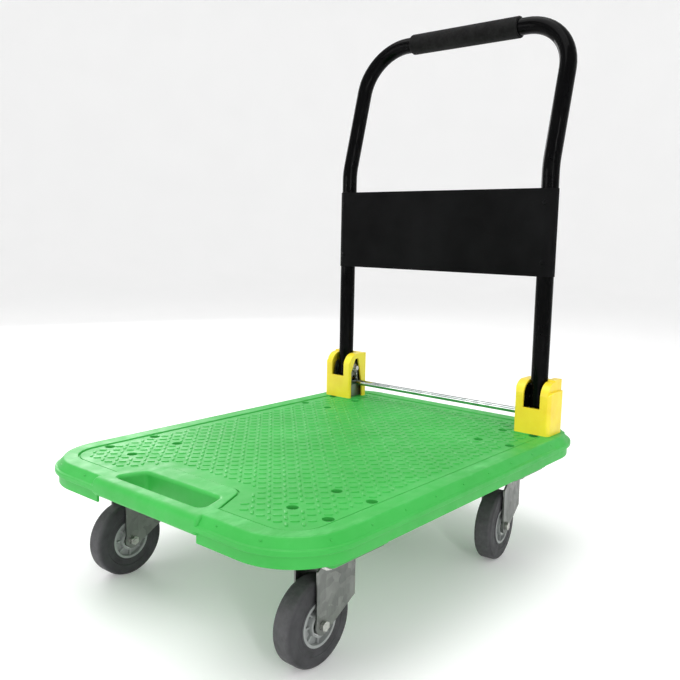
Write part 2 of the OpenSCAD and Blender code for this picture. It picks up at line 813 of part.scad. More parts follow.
module bar_clips() color(zinc)
    for (side = [left, right])
        translate([side * (bar_half - bar_end / 2), pivot_y, bar_z]) rotate([0, 90, 0]) difference() {
            cylinder(d = bar_d + 2 * clip_rim, h = clip_t, center = true);
            cylinder(d = bar_d, h = 2 * clip_t, center = true);
        }

// Coil swept as one tube from the lock bar up to the pivot bolt's tail
spring_x = -pivot_tail + spring_r + spring_wire / 2;
spring_low = bar_z + bar_d / 2 + spring_wire;
spring_high = pivot_z - pivot_d / 2 - spring_wire;
spring_turns = 9;
spring_steps = 12;
spring_sides = 8;

function coil_point(i) = let (a = i * 360 / spring_steps, n = spring_turns * spring_steps)
    [spring_r * cos(a), spring_r * sin(a), spring_low + (spring_high - spring_low) * i / n];

module coil() {
    n = spring_turns * spring_steps;
    rings = [for (i = [0:n]) let (p = coil_point(i), a = i * 360 / spring_steps)
        [for (j = [0:spring_sides - 1]) let (b = j * 360 / spring_sides, w = spring_wire / 2)
            [p.x + w * cos(b) * cos(a), p.y + w * cos(b) * sin(a), p.z + w * sin(b)]]];
    polyhedron(points = [for (ring = rings, p = ring) p],
        faces = concat([[for (j = [0:spring_sides - 1]) j]],
            [for (i = [0:n - 1], j = [0:spring_sides - 1])
                let (k = (j + 1) % spring_sides, a = i * spring_sides, b = a + spring_sides)
                [a + j, b + j, b + k, a + k]],
            [[for (j = [spring_sides - 1:-1:0]) n * spring_sides + j]]), convexity = 10);
}

module spring(side) color(zinc)
    translate([side * (post_x + spring_x), pivot_y, 0]) coil();

deck();
caster_bolts();
caster_nuts();
front_fork(left);  // front_fork_left
front_fork(right);  // front_fork_right
front_axle_bolts();
front_axle_sleeves();
front_axle_nuts();
swivel_plate(left);  // swivel_plate_left
swivel_plate(right);  // swivel_plate_right
swivel_balls();
kingpins();
swivel_fork(left);  // swivel_fork_left
at_axle(left, true) axle_bolt();  // rear_axle_bolt_left
at_axle(left, true) axle_sleeve();  // rear_axle_sleeve_left
at_axle(left, true) axle_nut();  // rear_axle_nut_left
swivel_fork(right);  // swivel_fork_right
at_axle(right, true) axle_bolt();  // rear_axle_bolt_right
at_axle(right, true) axle_sleeve();  // rear_axle_sleeve_right
at_axle(right, true) axle_nut();  // rear_axle_nut_right
at_axle(left, false) hub();  // front_hub_left
at_axle(left, false) tyre();  // front_tyre_left
at_axle(left, false) bearings();  // front_bearings_left
at_axle(right, false) hub();  // front_hub_right
at_axle(right, false) tyre();  // front_tyre_right
at_axle(right, false) bearings();  // front_bearings_right
at_axle(left, true) hub();  // rear_hub_left
at_axle(left, true) tyre();  // rear_tyre_left
at_axle(left, true) bearings();  // rear_bearings_left
at_axle(right, true) hub();  // rear_hub_right
at_axle(right, true) tyre();  // rear_tyre_right
at_axle(right, true) bearings();  // rear_bearings_right
hinge_bracket(left);  // hinge_bracket_left
hinge_bracket(right);  // hinge_bracket_right
bracket_bolts();
bracket_nuts();
pivot_bolt(left);  // pivot_bolt_left
pivot_bolt(right);  // pivot_bolt_right
pivot_nuts();
hinge_cover(left);  // hinge_cover_left
hinge_cover(right);  // hinge_cover_right
cover_screws();
handle_tube();
cam(left);  // cam_left
cam(right);  // cam_right
grip_sleeve();
back_panel();
panel_rivets();
lock_bar();
bar_clips();
spring(left);  // spring_left
spring(right);  // spring_right
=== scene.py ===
# Folding platform cart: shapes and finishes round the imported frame
import json
import math
import bmesh
import bpy
from mathutils import Matrix, Vector


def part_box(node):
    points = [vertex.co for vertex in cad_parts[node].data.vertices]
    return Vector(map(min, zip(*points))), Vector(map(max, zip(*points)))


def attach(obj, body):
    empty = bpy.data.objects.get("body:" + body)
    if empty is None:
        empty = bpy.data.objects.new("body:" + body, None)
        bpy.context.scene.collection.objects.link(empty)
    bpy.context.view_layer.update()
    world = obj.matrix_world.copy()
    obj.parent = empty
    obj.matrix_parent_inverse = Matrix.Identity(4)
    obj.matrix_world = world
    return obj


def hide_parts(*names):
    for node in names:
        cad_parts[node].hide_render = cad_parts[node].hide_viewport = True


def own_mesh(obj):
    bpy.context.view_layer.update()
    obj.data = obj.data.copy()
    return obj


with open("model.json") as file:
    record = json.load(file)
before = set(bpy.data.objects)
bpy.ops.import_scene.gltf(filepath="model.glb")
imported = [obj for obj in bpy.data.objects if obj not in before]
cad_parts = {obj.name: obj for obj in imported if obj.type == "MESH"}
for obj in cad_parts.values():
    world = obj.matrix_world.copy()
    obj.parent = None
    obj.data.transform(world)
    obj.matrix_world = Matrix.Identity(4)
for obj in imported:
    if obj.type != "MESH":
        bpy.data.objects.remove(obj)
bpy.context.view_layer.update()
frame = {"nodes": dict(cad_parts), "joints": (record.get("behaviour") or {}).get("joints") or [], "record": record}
nodes = frame["nodes"]
mm = 0.001
weldGap = 0.001 * mm
print("frame loaded with", len(nodes), "nodes")

# Camera: place in metres, angles in degrees, lens in millimetres on a 36 mm sensor
camera = {"place": (0.8785, -1.0287, 0.5834), "yaw": 40.13, "down": 7.83, "roll": 1.11, "lens": 41.1}


def setCamera():
    data = bpy.data.cameras.new("view")
    data.lens = camera["lens"]
    data.sensor_width = 36
    data.clip_end = 60
    eye = bpy.data.objects.new("view", data)
    bpy.context.scene.collection.objects.link(eye)
    turn = Matrix.Rotation(math.radians(camera["yaw"]), 4, "Z")
    tilt = Matrix.Rotation(math.radians(90 - camera["down"]), 4, "X")
    roll = Matrix.Rotation(math.radians(camera["roll"]), 4, "Z")
    eye.matrix_world = Matrix.Translation(camera["place"]) @ turn @ tilt @ roll
    bpy.context.scene.camera = eye


# ---- Patterns that the finishes share

def startFinish(name, sockets):
    finish = bpy.data.materials.new(name)
    finish.use_nodes = True
    tree = finish.node_tree
    tree.nodes.clear()
    shader = tree.nodes.new("ShaderNodeBsdfPrincipled")
    output = tree.nodes.new("ShaderNodeOutputMaterial")
    tree.links.new(shader.outputs["BSDF"], output.inputs["Surface"])
    for socket, value in sockets.items():
        shader.inputs[socket].default_value = value
    where = tree.nodes.new("ShaderNodeTexCoord").outputs["Object"]
    return finish, tree, shader, where


def stretched(tree, where, scale):
    mapping = tree.nodes.new("ShaderNodeMapping")
    mapping.inputs["Scale"].default_value = scale
    tree.links.new(where, mapping.inputs["Vector"])
    return mapping.outputs["Vector"]


def grain(tree, where, scale, detail=3.0, rough=0.5):
    noise = tree.nodes.new("ShaderNodeTexNoise")
    noise.inputs["Scale"].default_value = scale
    noise.inputs["Detail"].default_value = detail
    noise.inputs["Roughness"].default_value = rough
    tree.links.new(where, noise.inputs["Vector"])
    return noise.outputs["Fac"]


def cells(tree, where, scale, output="Distance"):
    voronoi = tree.nodes.new("ShaderNodeTexVoronoi")
    voronoi.inputs["Scale"].default_value = scale
    tree.links.new(where, voronoi.inputs["Vector"])
    return voronoi.outputs[output]


def remap(tree, value, fromLow, fromHigh, toLow, toHigh):
    node = tree.nodes.new("ShaderNodeMapRange")
    for socket, number in zip(("From Min", "From Max", "To Min", "To Max"), (fromLow, fromHigh, toLow, toHigh)):
        node.inputs[socket].default_value = number
    tree.links.new(value, node.inputs["Value"])
    return node.outputs["Result"]


def times(tree, first, second):
    node = tree.nodes.new("ShaderNodeMath")
    node.operation = "MULTIPLY"
    tree.links.new(first, node.inputs[0])
    tree.links.new(second, node.inputs[1])
    return node.outputs[0]


def tint(tree, value, stops):
    ramp = tree.nodes.new("ShaderNodeValToRGB")
    points = ramp.color_ramp.elements
    while len(points) < len(stops):
        points.new(0.5)
    for point, (place, colour) in zip(points, stops):
        point.position = place
        point.color = (*colour, 1)
    tree.links.new(value, ramp.inputs["Fac"])
    return ramp.outputs["Color"]


def blend(tree, share, below, colour):
    node = tree.nodes.new("ShaderNodeMix")
    node.data_type = "RGBA"
    tree.links.new(share, node.inputs["Factor"])
    tree.links.new(below, node.inputs["A"])
    node.inputs["B"].default_value = (*colour, 1)
    return node.outputs["Result"]


def relief(tree, shader, height, distance, strength=1.0, over=None):
    bump = tree.nodes.new("ShaderNodeBump")
    bump.inputs["Distance"].default_value = distance
    bump.inputs["Strength"].default_value = strength
    tree.links.new(height, bump.inputs["Height"])
    if over:
        tree.links.new(over, bump.inputs["Normal"])
    tree.links.new(bump.outputs["Normal"], shader.inputs["Normal"])
    return bump.outputs["Normal"]


def heightOf(tree, where):
    split = tree.nodes.new("ShaderNodeSeparateXYZ")
    tree.links.new(where, split.inputs["Vector"])
    return split.outputs["Z"]


def edgeWear(tree, low, high):
    shape = tree.nodes.new("ShaderNodeNewGeometry")
    return remap(tree, shape.outputs["Pointiness"], low, high, 0, 1)


# ---- Finishes

# The deck's worn green is both rub wear and a painted highlight on its raised tops
deckLook = {"deep": (0.026, 0.365, 0.046), "fresh": (0.036, 0.435, 0.062), "worn": (0.13, 0.57, 0.17)}


def deckPlastic(fieldTop):
    finish, tree, shader, where = startFinish("deckPlastic", {"IOR": 1.49, "Specular IOR Level": 0.42})
    clouds = grain(tree, where, 7, 4)
    colour = tint(tree, clouds, [(0.3, deckLook["deep"]), (0.7, deckLook["fresh"])])
    # Raised tops (dashes and lip) turn to the paler worn green: partly rub wear, partly a painted highlight on the
    # upper surfaces
    rubAndHighlightPatches = remap(tree, grain(tree, stretched(tree, where, (1, 0.35, 1)), 38, 5, 0.65), 0.50, 0.72, 0, 1)
    raisedWearAndHighlight = remap(tree, heightOf(tree, where), fieldTop + 0.2 * mm, fieldTop + 1.1 * mm, 0.1, 0.55)
    colour = blend(tree, times(tree, rubAndHighlightPatches, raisedWearAndHighlight), colour, deckLook["worn"])
    flecks = remap(tree, grain(tree, where, 900, 2), 0.62, 0.8, 0, 0.25)
    colour = blend(tree, flecks, colour, deckLook["deep"])
    tree.links.new(colour, shader.inputs["Base Color"])
    tree.links.new(remap(tree, grain(tree, where, 45, 4), 0.3, 0.7, 0.4, 0.56), shader.inputs["Roughness"])
    waves = relief(tree, shader, grain(tree, where, 26, 2), 0.5 * mm, 0.35)
    relief(tree, shader, grain(tree, where, 1500, 2), 0.05 * mm, 0.5, waves)
    return finish


coverLook = {"fresh": (0.92, 0.74, 0.03), "deep": (0.84, 0.62, 0.022), "worn": (0.93, 0.84, 0.22)}


def coverPlastic():
    finish, tree, shader, where = startFinish("coverPlastic", {"IOR": 1.49})
    colour = tint(tree, grain(tree, where, 22, 4), [(0.3, coverLook["deep"]), (0.65, coverLook["fresh"])])
    scuffs = remap(tree, grain(tree, stretched(tree, where, (1, 1, 3)), 160, 4, 0.7), 0.6, 0.8, 0, 0.5)
    colour = blend(tree, scuffs, colour, coverLook["worn"])
    tree.links.new(colour, shader.inputs["Base Color"])
    tree.links.new(remap(tree, grain(tree, where, 90, 3), 0.3, 0.7, 0.3, 0.46), shader.inputs["Roughness"])
    waves = relief(tree, shader, grain(tree, where, 60, 2), 0.3 * mm, 0.3)
    relief(tree, shader, grain(tree, where, 1800, 2), 0.03 * mm, 0.5, waves)
    return finish


def handleEnamel():
    finish, tree, shader, where = startFinish("handleEnamel", {
        "Specular IOR Level": 0.01, "Coat Weight": 0.8, "Coat IOR": 1.13, "Coat Roughness": 0.05})
    colour = tint(tree, grain(tree, where, 30, 4), [(0.3, (0.001, 0.001, 0.0012)), (0.7, (0.002, 0.002, 0.0022))])
    dust = remap(tree, grain(tree, where, 420, 5, 0.7), 0.66, 0.8, 0, 0.25)
    tree.links.new(blend(tree, dust, colour, (0.012, 0.012, 0.012)), shader.inputs["Base Color"])
    tree.links.new(remap(tree, grain(tree, where, 120, 4), 0.3, 0.7, 0.16, 0.26), shader.inputs["Roughness"])
    relief(tree, shader, grain(tree, where, 420, 2), 0.03 * mm, 0.3)
    return finish


def panelEnamel():
    finish, tree, shader, where = startFinish("panelEnamel", {"IOR": 1.5, "Specular IOR Level": 0.03})
    colour = tint(tree, grain(tree, where, 11, 5, 0.6), [
        (0.3, (0.003, 0.003, 0.0032)), (0.7, (0.0065, 0.0065, 0.007))])
    dust = remap(tree, grain(tree, where, 650, 4, 0.7), 0.6, 0.8, 0, 0.4)
    colour = blend(tree, dust, colour, (0.028, 0.028, 0.028))
    tree.links.new(colour, shader.inputs["Base Color"])
    tree.links.new(remap(tree, grain(tree, where, 18, 4), 0.3, 0.7, 0.42, 0.62), shader.inputs["Roughness"])
    waves = relief(tree, shader, grain(tree, where, 13, 1), 0.8 * mm, 0.4)
    relief(tree, shader, cells(tree, where, 1300), 0.08 * mm, 0.6, waves)
    return finish


def gripFoam():
    finish, tree, shader, where = startFinish("gripFoam", {
        "Specular IOR Level": 0.15, "Sheen Weight": 0.04, "Sheen Roughness": 0.4})
    colour = tint(tree, grain(tree, where, 60, 5), [(0.3, (0.003, 0.003, 0.003)), (0.7, (0.009, 0.009, 0.009))])
    tree.links.new(colour, shader.inputs["Base Color"])
    tree.links.new(remap(tree, grain(tree, where, 200, 3), 0.3, 0.7, 0.75, 0.95), shader.inputs["Roughness"])
    relief(tree, shader, cells(tree, where, 1100), 0.25 * mm, 0.8)
    return finish


def platedSteel(name, low, high, roughLow, roughHigh, spangle, brushed=(1, 1, 1)):
    finish, tree, shader, where = startFinish(name, {"Metallic": 1.0})
    crystals = cells(tree, where, spangle, "Color")
    shade = tree.nodes.new("ShaderNodeSeparateColor")
    tree.links.new(crystals, shade.inputs["Color"])
    mixed = times(tree, shade.outputs["Red"], grain(tree, where, spangle / 3, 4))
    colour = tint(tree, mixed, [(0.05, low), (0.55, high)])
    stains = remap(tree, grain(tree, where, 35, 6, 0.7), 0.56, 0.75, 0, 0.5)
    colour = blend(tree, stains, colour, tuple(0.55 * c for c in low))
    colour = blend(tree, edgeWear(tree, 0.53, 0.62), colour, tuple(min(1, 1.2 * c) for c in high))
    tree.links.new(colour, shader.inputs["Base Color"])
    scratches = grain(tree, stretched(tree, where, brushed), 260, 3)
    tree.links.new(remap(tree, scratches, 0.3, 0.7, roughLow, roughHigh), shader.inputs["Roughness"])
    relief(tree, shader, scratches, 0.03 * mm, 0.5)
    return finish


def tyreRubber():
    finish, tree, shader, where = startFinish("tyreRubber", {"Specular IOR Level": 0.35})
    colour = tint(tree, grain(tree, where, 40, 5), [(0.3, (0.03, 0.03, 0.032)), (0.7, (0.052, 0.052, 0.056))])
    tread = tree.nodes.new("ShaderNodeAttribute")
    tread.attribute_name = "tread"
    dusty = remap(tree, grain(tree, where, 130, 5, 0.65), 0.35, 0.7, 0.35, 0.9)
    colour = blend(tree, times(tree, tread.outputs["Fac"], dusty), colour, (0.085, 0.083, 0.088))
    tree.links.new(colour, shader.inputs["Base Color"])
    tree.links.new(remap(tree, grain(tree, where, 90, 3), 0.3, 0.7, 0.5, 0.72), shader.inputs["Roughness"])
    relief(tree, shader, grain(tree, where, 900, 3), 0.06 * mm, 0.6)
    return finish


def hubPlastic():
    finish, tree, shader, where = startFinish("hubPlastic", {"IOR": 1.5})
    colour = tint(tree, grain(tree, where, 50, 4), [(0.3, (0.24, 0.255, 0.25)), (0.7, (0.32, 0.34, 0.33))])
    scuffs = remap(tree, grain(tree, where, 240, 5, 0.7), 0.6, 0.8, 0, 0.5)
    tree.links.new(blend(tree, scuffs, colour, (0.42, 0.43, 0.42)), shader.inputs["Base Color"])
    tree.links.new(remap(tree, grain(tree, where, 110, 3), 0.3, 0.7, 0.38, 0.56), shader.inputs["Roughness"])
    relief(tree, shader, grain(tree, where, 1300, 2), 0.04 * mm, 0.5)
    return finish


# ---- Mesh helpers

def addObject(name, mesh):
    piece = bpy.data.objects.new(name, mesh)
    bpy.context.scene.collection.objects.link(piece)
    return piece


def fromBmesh(name, bm):
    bmesh.ops.triangulate(bm, faces=[f for f in bm.faces if len(f.verts) > 4])
    bmesh.ops.recalc_face_normals(bm, faces=bm.faces)
    mesh = bpy.data.meshes.new(name)
    bm.to_mesh(mesh)
    bm.free()
    return addObject(name, mesh)


# Skins rings of points; a closed loop joins the last ring to the first, and an open one gets end faces
def loft(name, rings, loop=False):
    bm = bmesh.new()
    made = [[bm.verts.new(p) for p in ring] for ring in rings]
    around = len(made[0])
    pairs = list(zip(made, made[1:] + made[:1])) if loop else list(zip(made, made[1:]))
    for near, far in pairs:
        for i in range(around):
            j = (i + 1) % around
            bm.faces.new((near[i], near[j], far[j], far[i]))
    if not loop:
        bm.faces.new(made[0])
        bm.faces.new(made[-1])
    return fromBmesh(name, bm)


def joined(name, pieces):
    bm = bmesh.new()
    for piece in pieces:
        bm.from_mesh(piece.data)
        bpy.data.objects.remove(piece)
    return fromBmesh(name, bm)


# Centre, first arm, last arm and turn of the arc that rounds a corner (x, y, radius)
def cornerArc(corners, i):
    x, y, radius = corners[i]
    here = Vector((x, y))
    back = (Vector(corners[i - 1][:2]) - here).normalized()
    ahead = (Vector(corners[(i + 1) % len(corners)][:2]) - here).normalized()
    half = back.angle(ahead) / 2
    centre = here + (back + ahead).normalized() * (radius / math.sin(half))
    first = here + back * (radius / math.tan(half)) - centre
    last = here + ahead * (radius / math.tan(half)) - centre
    return centre, first, last, math.pi - 2 * half


# Rounds the corners of an outline with short straight steps
def filleted(corners, step=15.0, closed=True):
    points = []
    for i, (x, y, radius) in enumerate(corners):
        if radius == 0 or not closed and i in (0, len(corners) - 1):
            points.append(Vector((x, y)))
            continue
        centre, first, last, turn = cornerArc(corners, i)
        count = max(2, round(math.degrees(turn) / step))
        for k in range(count + 1):
            share = k / count
            arm = first * math.sin((1 - share) * turn) + last * math.sin(share * turn)
            points.append(centre + arm / math.sin(turn))
    return points


# Corners of a convex outline, moved outwards by grow with their arcs' centres kept
def grown(corners, grow, step=10.0):
    points = []
    for i, corner in enumerate(corners):
        centre, first, _, turn = cornerArc(corners, i)
        radius, start = corner[2], math.atan2(*first.yx)
        count = max(2, round(math.degrees(turn) / step))
        for k in range(count + 1):
            angle = start + turn * k / count
            points.append(centre + Vector((math.cos(angle), math.sin(angle))) * (radius + grow))
    return points


# A block of an outline between heights, its top and bottom edges rounded by soft
def block(name, corners, low, high, softLow=0.0, softHigh=0.0, step=10.0):
    turns = [math.radians(a) for a in (0, 30, 60, 90)]
    levels = [(low, 0)]
    if softLow:
        levels = [(low + softLow * (1 - math.cos(a)), -softLow * (1 - math.sin(a))) for a in turns]
    if softHigh:
        levels += [(high - softHigh * (1 - math.sin(a)), -softHigh * (1 - math.cos(a))) for a in turns]
    else:
        levels += [(high, 0)]
    return loft(name, [[Vector((*p, z)) for p in grown(corners, grow, step)] for z, grow in levels])


def boxCorners(lowX, highX, lowY, highY, radius):
    return [(lowX, lowY, radius), (highX, lowY, radius), (highX, highY, radius), (lowX, highY, radius)]


# Corners round a box seen from above, moved out by margin
def cornersRound(low, high, margin, radius):
    return boxCorners(low.x - margin, high.x + margin, low.y - margin, high.y + margin, radius)


def cuboid(name, low, high):
    ring = [(low[0], low[1]), (high[0], low[1]), (high[0], high[1]), (low[0], high[1])]
    return loft(name, [[Vector((*p, z)) for p in ring] for z in (low[2], high[2])])


# Turns a profile (radius, height) about an axis from origin along direction
def lathe(name, profile, origin=(0, 0, 0), direction=(0, 0, 1), steps=48):
    aim = Vector(direction).to_track_quat("Z", "Y").to_matrix()
    rings = []
    for i in range(steps):
        angle = math.tau * i / steps
        spoke = Vector((math.cos(angle), math.sin(angle), 0))
        rings.append([Vector(origin) + aim @ (spoke * p[0] + Vector((0, 0, p[1]))) for p in profile])
    return loft(name, rings, True)


def carve(body, tool, operation):
    cut = body.modifiers.new("carve", "BOOLEAN")
    cut.object = tool
    cut.operation = operation
    cut.solver = "MANIFOLD"
    bakeModifiers(body)
    bpy.data.objects.remove(tool)


def bakeModifiers(piece):
    graph = bpy.context.evaluated_depsgraph_get()
    mesh = bpy.data.meshes.new_from_object(piece.evaluated_get(graph))
    piece.modifiers.clear()
    piece.data = mesh


def weightNormals(piece):
    weighted = piece.modifiers.new("normals", "WEIGHTED_NORMAL")
    weighted.keep_sharp = True
    weighted.weight = 80


# For pieces made here; a CAD node's own mesh is left alone
def smoothed(piece, angle):
    piece.data.shade_smooth()
    piece.data.set_sharp_from_angle(angle=math.radians(angle))
    weightNormals(piece)


def dress(piece, finish):
    piece.data.materials.clear()
    piece.data.materials.append(finish)


# Lowest and highest corner of each loose solid in a node
def solidBoxes(name):
    mesh = nodes[name].data
    keys = {}
    spot = [keys.setdefault(tuple(round(c, 6) for c in v.co), len(keys)) for v in mesh.vertices]
    places = list(keys)
    parent = list(range(len(places)))

    def root(i):
        while parent[i] != i:
            parent[i] = parent[parent[i]]
            i = parent[i]
        return i

    for face in mesh.polygons:
        first = root(spot[face.vertices[0]])
        for v in face.vertices[1:]:
            parent[root(spot[v])] = first
            first = root(first)
    groups = {}
    for i, place in enumerate(places):
        groups.setdefault(root(i), []).append(place)
    boxes = [(Vector(map(min, zip(*g))), Vector(map(max, zip(*g)))) for g in groups.values()]
    return sorted(boxes, key=lambda b: tuple(b[0]))


def centreOf(box):
    return (box[0] + box[1]) / 2


def jointNamed(name):
    return next(j for j in frame["joints"] if j["name"] == name)


# Rounds the edges of CAD nodes, which keep their own meshes
def soften(names, width, segments=2, angle=30.0):
    for name in names:
        piece = nodes[name]
        weld = piece.modifiers.new("weld", "WELD")
        weld.merge_threshold = 0.01 * mm
        flat = piece.modifiers.new("flat", "DECIMATE")
        flat.decimate_type = "DISSOLVE"
        flat.angle_limit = math.radians(1)
        edge = piece.modifiers.new("edge", "BEVEL")
        edge.width = width
        edge.segments = segments
        edge.limit_method = "ANGLE"
        edge.angle_limit = math.radians(angle)
        edge.miter_outer = "MITER_ARC"
        normals = piece.modifiers.new("normals", "WEIGHTED_NORMAL")
        normals.keep_sharp = False


# ---- Geometry Nodes helpers

def startTree(name, inputs):
    tree = bpy.data.node_groups.new(name, "GeometryNodeTree")
    tree.interface.new_socket("Geometry", in_out="INPUT", socket_type="NodeSocketGeometry")
    for label, (kind, value) in inputs.items():
        socket = tree.interface.new_socket(label, in_out="INPUT", socket_type=kind)
        if value is not None:
            socket.default_value = value
    tree.interface.new_socket("Geometry", in_out="OUTPUT", socket_type="NodeSocketGeometry")
    start = tree.nodes.new("NodeGroupInput")
    end = tree.nodes.new("NodeGroupOutput")
    return tree, start, end


def addNode(tree, kind, links=None, values=None, **settings):
    node = tree.nodes.new(kind)
    for setting, value in settings.items():
        setattr(node, setting, value)
    for socket, value in (values or {}).items():
        node.inputs[socket].default_value = value
    for socket, source in (links or {}).items():
        tree.links.new(source, node.inputs[socket])
    return node


def endTree(tree, end, geometry, finish):
    solid = addNode(tree, "GeometryNodeRealizeInstances", {"Geometry": geometry})
    painted = addNode(tree, "GeometryNodeSetMaterial", {"Geometry": solid.outputs["Geometry"]})
    painted.inputs["Material"].default_value = finish
    tree.links.new(painted.outputs["Geometry"], end.inputs["Geometry"])


def grow(name, mesh, tree, values):
    piece = addObject(name, mesh)
    modifier = piece.modifiers.new("grow", "NODES")
    modifier.node_group = tree
    labels = {item.name: item.identifier for item in tree.interface.items_tree if item.in_out == "INPUT"}
    for label, value in values.items():
        modifier[labels[label]] = value
    bakeModifiers(piece)
    return piece


def pointMesh(name, points, attributes=None):
    mesh = bpy.data.meshes.new(name)
    mesh.from_pydata([tuple(p) for p in points], [], [])
    for label, values in (attributes or {}).items():
        mesh.attributes.new(label, "FLOAT", "POINT").data.foreach_set("value", values)
    return mesh


# Copies a small part onto points, turned about z by the attribute "turn"
def scatterTree(name, finish):
    tree, start, end = startTree(name, {"Part": ("NodeSocketObject", None), "Size": ("NodeSocketFloat", 1.0)})
    part = addNode(tree, "GeometryNodeObjectInfo", {"Object": start.outputs["Part"]})
    turn = addNode(tree, "GeometryNodeInputNamedAttribute", data_type="FLOAT", values={"Name": "turn"})
    spin = addNode(tree, "ShaderNodeCombineXYZ", {"Z": turn.outputs["Attribute"]})
    copies = addNode(tree, "GeometryNodeInstanceOnPoints", {
        "Points": start.outputs["Geometry"], "Instance": part.outputs["Geometry"],
        "Rotation": spin.outputs["Vector"], "Scale": start.outputs["Size"]})
    endTree(tree, end, copies.outputs["Instances"], finish)
    return tree


# Smooth shading for a CAD node up to an angle, by modifiers alone
def smoothNode(name, angle):
    tree, start, end = startTree("smoothShade", {})
    bend = addNode(tree, "GeometryNodeInputMeshEdgeAngle")
    sharp = addNode(tree, "FunctionNodeCompare", {"A": bend.outputs["Unsigned Angle"]}, {"B": math.radians(angle)},
                    data_type="FLOAT", operation="GREATER_THAN")
    faces = addNode(tree, "GeometryNodeSetShadeSmooth", {"Geometry": start.outputs["Geometry"]},
                    {"Shade Smooth": True}, domain="FACE")
    edges = addNode(tree, "GeometryNodeSetShadeSmooth", {
        "Geometry": faces.outputs["Geometry"], "Selection": sharp.outputs["Result"]}, {"Shade Smooth": False},
        domain="EDGE")
    tree.links.new(edges.outputs["Geometry"], end.inputs["Geometry"])
    nodes[name].modifiers.new("shade", "NODES").node_group = tree
    weightNormals(nodes[name])


# ---- Deck

deckShape = {
    "cornerRadius": 108 * mm, "lipInset": 14 * mm, "fieldInset": 42 * mm, "fieldRadius": 52 * mm, "fieldStep": 1.5 * mm,
    "plate": 5 * mm, "rimTop": 14 * mm, "rimHeight": 7 * mm, "skirtInset": 6 * mm, "wall": 4 * mm,
    "skirtHeight": 39 * mm, "grooveDepth": 1.8 * mm, "grooveWidth": 3.0 * mm,
}
handHole = {"width": 200 * mm, "depth": 46 * mm, "slant": 16 * mm, "radius": 9 * mm, "bar": 28 * mm,
            "islandFront": 118 * mm, "islandRear": 84 * mm, "islandDepth": 112 * mm, "islandRadius": 24 * mm,
            "islandStart": 40 * mm, "moatStart": 48 * mm, "moatWidth": 2.2 * mm,
            "barOverlap": 15 * mm, "barHeight": 24 * mm}
ribShape = {"pitch": 78 * mm, "thick": 3 * mm, "skirtGap": 6 * mm, "padMargin": 4 * mm}
recess = {"depth": 11 * mm, "radius": 8.5 * mm, "boss": 11 * mm, "hole": 4.5 * mm, "soft": 0.9 * mm}
hingeMount = {"margin": 5 * mm, "radius": 6 * mm, "edge": 1.2 * mm, "boss": 13 * mm, "depth": 25 * mm}
pin = 0.1 * mm           # radius that a lathe's solid profile starts from
boltSides = 32

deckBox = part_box("deck")
lipTop = deckBox[1].z
fieldTop = lipTop - deckShape["fieldStep"]
plateLow = fieldTop - deckShape["plate"]
frontEdge = deckBox[0].y
boltSpots = [centreOf(b) for b in solidBoxes("caster_bolts")]
hingeBolts = [centreOf(b) for b in solidBoxes("bracket_bolts")]


# Profile of the edge from the field, over the lip and rim, down the skirt and back under the plate
def railProfile():
    d = deckShape
    field, lip, wall = d["fieldInset"], d["lipInset"], d["skirtInset"] + d["wall"]
    step, groove, width = d["fieldStep"], d["grooveDepth"], d["grooveWidth"]
    rim, rimLow = d["rimTop"], d["rimTop"] + d["rimHeight"]
    corners = [
        (field + 6 * mm, -step, 0), (field + width, -step, 0.4 * mm),
        (field + width - 0.8 * mm, -step - groove, 0.3 * mm), (field + 0.2 * mm, -step - groove, 0.3 * mm),
        (field - 0.6 * mm, 0, 1.2 * mm), (lip, 0, 5 * mm), (4.2 * mm, -rim + 1.6 * mm, 1.4 * mm),
        (0.4 * mm, -rim + 0.6 * mm, 1.5 * mm), (0, -rimLow, 1.6 * mm), (d["skirtInset"], -rimLow + 0.4 * mm, 1.4 * mm),
        (d["skirtInset"], -d["skirtHeight"], 1.3 * mm), (wall, -d["skirtHeight"], 1.0 * mm),
        (wall, -step - d["plate"], 2.5 * mm), (field + 6 * mm, -step - d["plate"], 0)]
    return filleted(corners, 20, False)


# The rim's corners are rounder than the field's, so the lip narrows towards each corner
def railAndPlate():
    d = deckShape
    outerRadius, innerRadius = d["cornerRadius"], d["fieldRadius"] + d["fieldInset"]
    steps = 20
    rings = []
    for sx, sy, start in ((1, 1, 0), (-1, 1, 90), (-1, -1, 180), (1, -1, 270)):
        for k in range(steps + 1):
            angle = math.radians(start + 90 * k / steps)
            aim = Vector((math.cos(angle), math.sin(angle)))
            pair = [Vector((sx * (deckBox[1].x - r), sy * (deckBox[1].y - r))) + aim * r
                    for r in (outerRadius, innerRadius)]
            rings.append((*pair, aim))
    profile = railProfile()
    bm = bmesh.new()
    columns = []
    for outer, inner, aim in rings:
        column = []
        for p in profile:
            under = p.y < -d["fieldStep"] - d["grooveDepth"] - 0.1 * mm
            edge = outer if p.x < d["lipInset"] + 6 * mm or under and p.x < d["fieldInset"] else inner
            column.append(bm.verts.new((*(edge - aim * p.x), lipTop + p.y)))
        columns.append(column)
    for near, far in zip(columns, columns[1:] + columns[:1]):
        for i in range(len(profile) - 1):
            bm.faces.new((near[i], near[i + 1], far[i + 1], far[i]))
    bm.faces.new([c[0] for c in columns])
    bm.faces.new([c[-1] for c in columns])
    return fromBmesh("deck_shell", bm)


def holeCorners():
    rear, half = frontEdge + handHole["bar"] + handHole["depth"], handHole["width"] / 2
    front, radius, slant = frontEdge + handHole["bar"], handHole["radius"], handHole["slant"]
    return [(-half, front, radius), (half, front, radius), (half - slant, rear, radius), (slant - half, rear, radius)]


